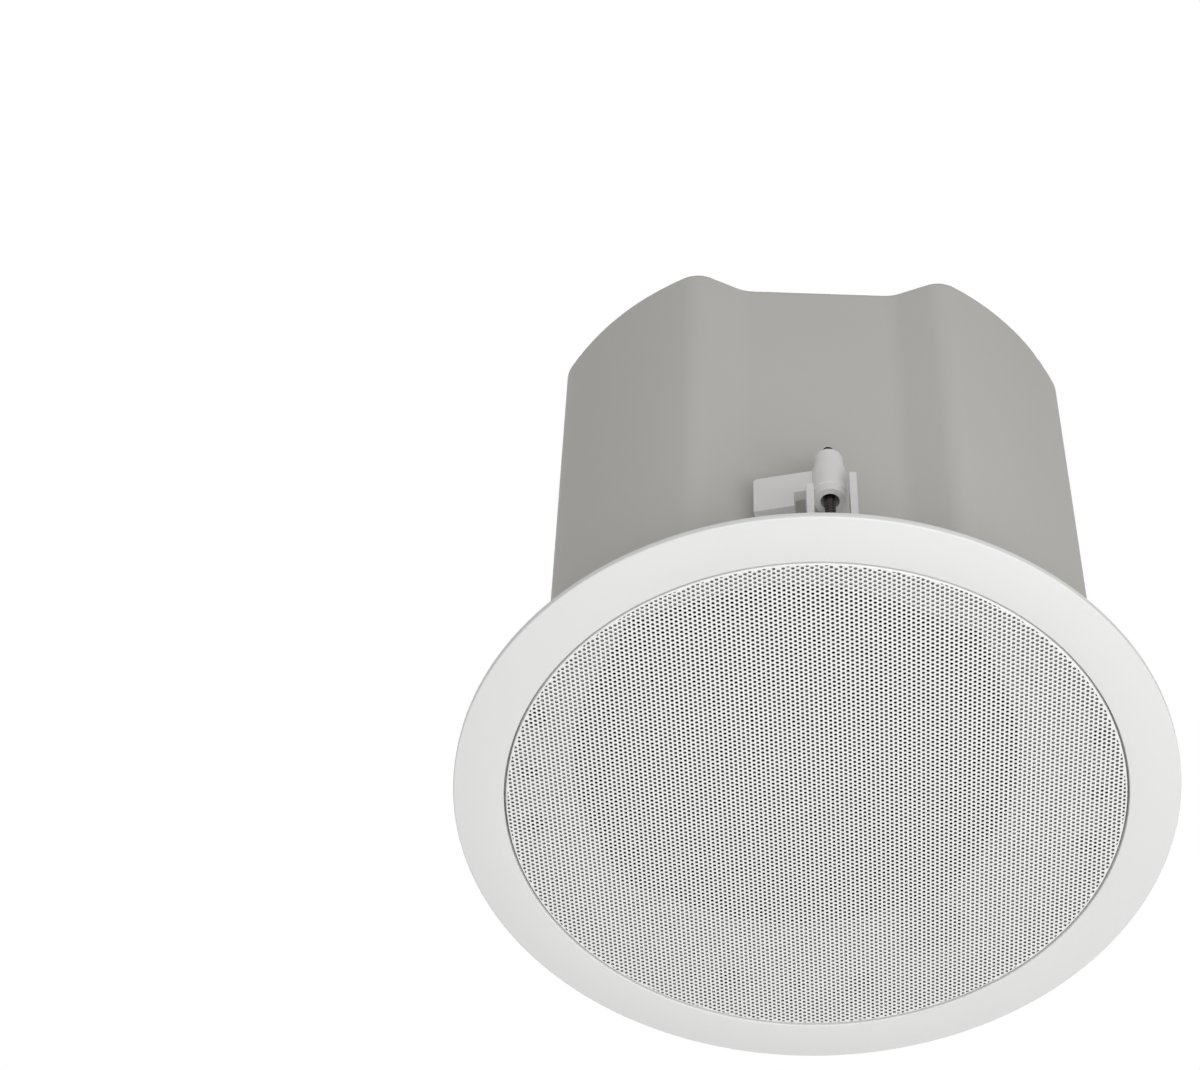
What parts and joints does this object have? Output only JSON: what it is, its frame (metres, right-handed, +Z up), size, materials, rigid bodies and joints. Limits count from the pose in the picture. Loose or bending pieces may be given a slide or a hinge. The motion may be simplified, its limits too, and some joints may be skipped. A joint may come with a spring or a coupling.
{
  "type": "ceiling speaker",
  "caption": "Round in-ceiling coaxial speaker with perforated grille, flush bezel, fluted steel back can and swing-out screw clamps that grip the ceiling panel.",
  "frame": {"origin": "on the speaker's axis, in the plane of the bezel's back, where the ceiling's face lies", "axes": "+Z up into the ceiling void along the can's axis, -Z out of the grille into the room"},
  "size_m": [0.33, 0.33, 0.2855],
  "materials": {
    "white_moulding": "satin",
    "clamp_white": "satin",
    "grille_white": "satin",
    "can_grey": "satin",
    "black_steel": "satin",
    "zinc": "satin",
    "nut_brass": "satin",
    "frame_black": "satin",
    "gasket_grey": "matte",
    "surround_rubber": "satin",
    "cone_black": "matte",
    "former_brown": "satin",
    "copper_wire": "satin",
    "spider_cloth": "matte",
    "ferrite": "matte",
    "tweeter_plastic": "satin",
    "dome_cloth": "matte",
    "port_grey": "satin",
    "switch_black": "satin",
    "board_green": "satin"
  },
  "bodies": {
    "housing": {"bezel_baffle": "white_moulding", "back_can": "can_grey", "can_bolts": "black_steel", "woofer_screws": "black_steel", "terminal_cover": "zinc", "tether_eye": "zinc", "top_screws": "zinc", "transformer_strap": "zinc", "top_plate": "zinc", "pole_yoke": "zinc", "tweeter_post": "zinc", "board_standoffs": "zinc", "woofer_frame": "frame_black", "woofer_gasket": "gasket_grey", "can_gasket": "gasket_grey", "woofer_surround": "surround_rubber", "transformer_winding": "copper_wire", "crossover_inductor": "copper_wire", "woofer_spider": "spider_cloth", "magnet_ring": "ferrite", "transformer_core": "ferrite", "tweeter_motor": "ferrite", "tweeter_horn": "tweeter_plastic", "tweeter_housing": "tweeter_plastic", "port_tube": "port_grey", "selector_switch": "switch_black", "terminal_block": "switch_black", "crossover_capacitors": "switch_black", "crossover_board": "board_green"},
    "grille": {"grille": "grille_white"},
    "cone": {"woofer_cone": "cone_black", "coil_former": "former_brown", "coil_winding": "copper_wire"},
    "dome": {"tweeter_dome": "dome_cloth"},
    "selector": {"selector_knob": "white_moulding"},
    "screw_1": {"clamp_screw_1": "black_steel"},
    "nut_1": {"clamp_nut_1": "nut_brass"},
    "arm_1": {"clamp_arm_1": "clamp_white"},
    "screw_2": {"clamp_screw_2": "black_steel"},
    "nut_2": {"clamp_nut_2": "nut_brass"},
    "arm_2": {"clamp_arm_2": "clamp_white"},
    "screw_3": {"clamp_screw_3": "black_steel"},
    "nut_3": {"clamp_nut_3": "nut_brass"},
    "arm_3": {"clamp_arm_3": "clamp_white"},
    "screw_4": {"clamp_screw_4": "black_steel"},
    "nut_4": {"clamp_nut_4": "nut_brass"},
    "arm_4": {"clamp_arm_4": "clamp_white"}
  },
  "joints": [
    {"name": "grille_pull", "type": "slide", "parent": "housing", "child": "grille", "axis": [0, 0, -1], "range_m": [0, 0.06]},
    {"name": "cone_travel", "type": "slide", "parent": "housing", "child": "cone", "axis": [0, 0, 1], "range_m": [-0.005, 0.005], "stiffness_N_per_m": 1500, "deforming": ["woofer_surround", "woofer_spider"]},
    {"name": "dome_travel", "type": "slide", "parent": "housing", "child": "dome", "axis": [0, 0, 1], "range_m": [-0.0003, 0.0003], "stiffness_N_per_m": 1000},
    {"name": "selector_turn", "type": "hinge", "parent": "housing", "child": "selector", "pos_m": [-0.0686, 0.09441, 0.0136], "axis": [0, 0, 1], "range_deg": [-75, 75]},
    {"name": "screw_turn_1", "type": "hinge", "parent": "housing", "child": "screw_1", "pos_m": [0, -0.131, 0.0124], "axis": [0, 0, 1], "range_deg": [0, 5040]},
    {"name": "nut_travel_1", "type": "slide", "parent": "housing", "child": "nut_1", "axis": [0, 0, 1], "range_m": [-0.028, 0]},
    {"name": "arm_swing_1", "type": "hinge", "parent": "nut_1", "child": "arm_1", "pos_m": [0, -0.131, 0.0535], "axis": [0, 0, 1], "range_deg": [0, 103]},
    {"name": "screw_turn_2", "type": "hinge", "parent": "housing", "child": "screw_2", "pos_m": [0.131, 0, 0.0124], "axis": [0, 0, 1], "range_deg": [0, 5040]},
    {"name": "nut_travel_2", "type": "slide", "parent": "housing", "child": "nut_2", "axis": [0, 0, 1], "range_m": [-0.028, 0]},
    {"name": "arm_swing_2", "type": "hinge", "parent": "nut_2", "child": "arm_2", "pos_m": [0.131, 0, 0.0535], "axis": [0, 0, 1], "range_deg": [0, 103]},
    {"name": "screw_turn_3", "type": "hinge", "parent": "housing", "child": "screw_3", "pos_m": [0, 0.131, 0.0124], "axis": [0, 0, 1], "range_deg": [0, 5040]},
    {"name": "nut_travel_3", "type": "slide", "parent": "housing", "child": "nut_3", "axis": [0, 0, 1], "range_m": [-0.028, 0]},
    {"name": "arm_swing_3", "type": "hinge", "parent": "nut_3", "child": "arm_3", "pos_m": [0, 0.131, 0.0535], "axis": [0, 0, 1], "range_deg": [0, 103]},
    {"name": "screw_turn_4", "type": "hinge", "parent": "housing", "child": "screw_4", "pos_m": [-0.131, 0, 0.0124], "axis": [0, 0, 1], "range_deg": [0, 5040]},
    {"name": "nut_travel_4", "type": "slide", "parent": "housing", "child": "nut_4", "axis": [0, 0, 1], "range_m": [-0.028, 0]},
    {"name": "arm_swing_4", "type": "hinge", "parent": "nut_4", "child": "arm_4", "pos_m": [-0.131, 0, 0.0535], "axis": [0, 0, 1], "range_deg": [0, 103]}
  ],
  "couplings": [
    {"joint": "screw_turn_1", "follows": "nut_travel_1", "rad_per_m": -3141.5},
    {"joint": "screw_turn_2", "follows": "nut_travel_2", "rad_per_m": -3141.5},
    {"joint": "screw_turn_3", "follows": "nut_travel_3", "rad_per_m": -3141.5},
    {"joint": "screw_turn_4", "follows": "nut_travel_4", "rad_per_m": -3141.5}
  ]
}
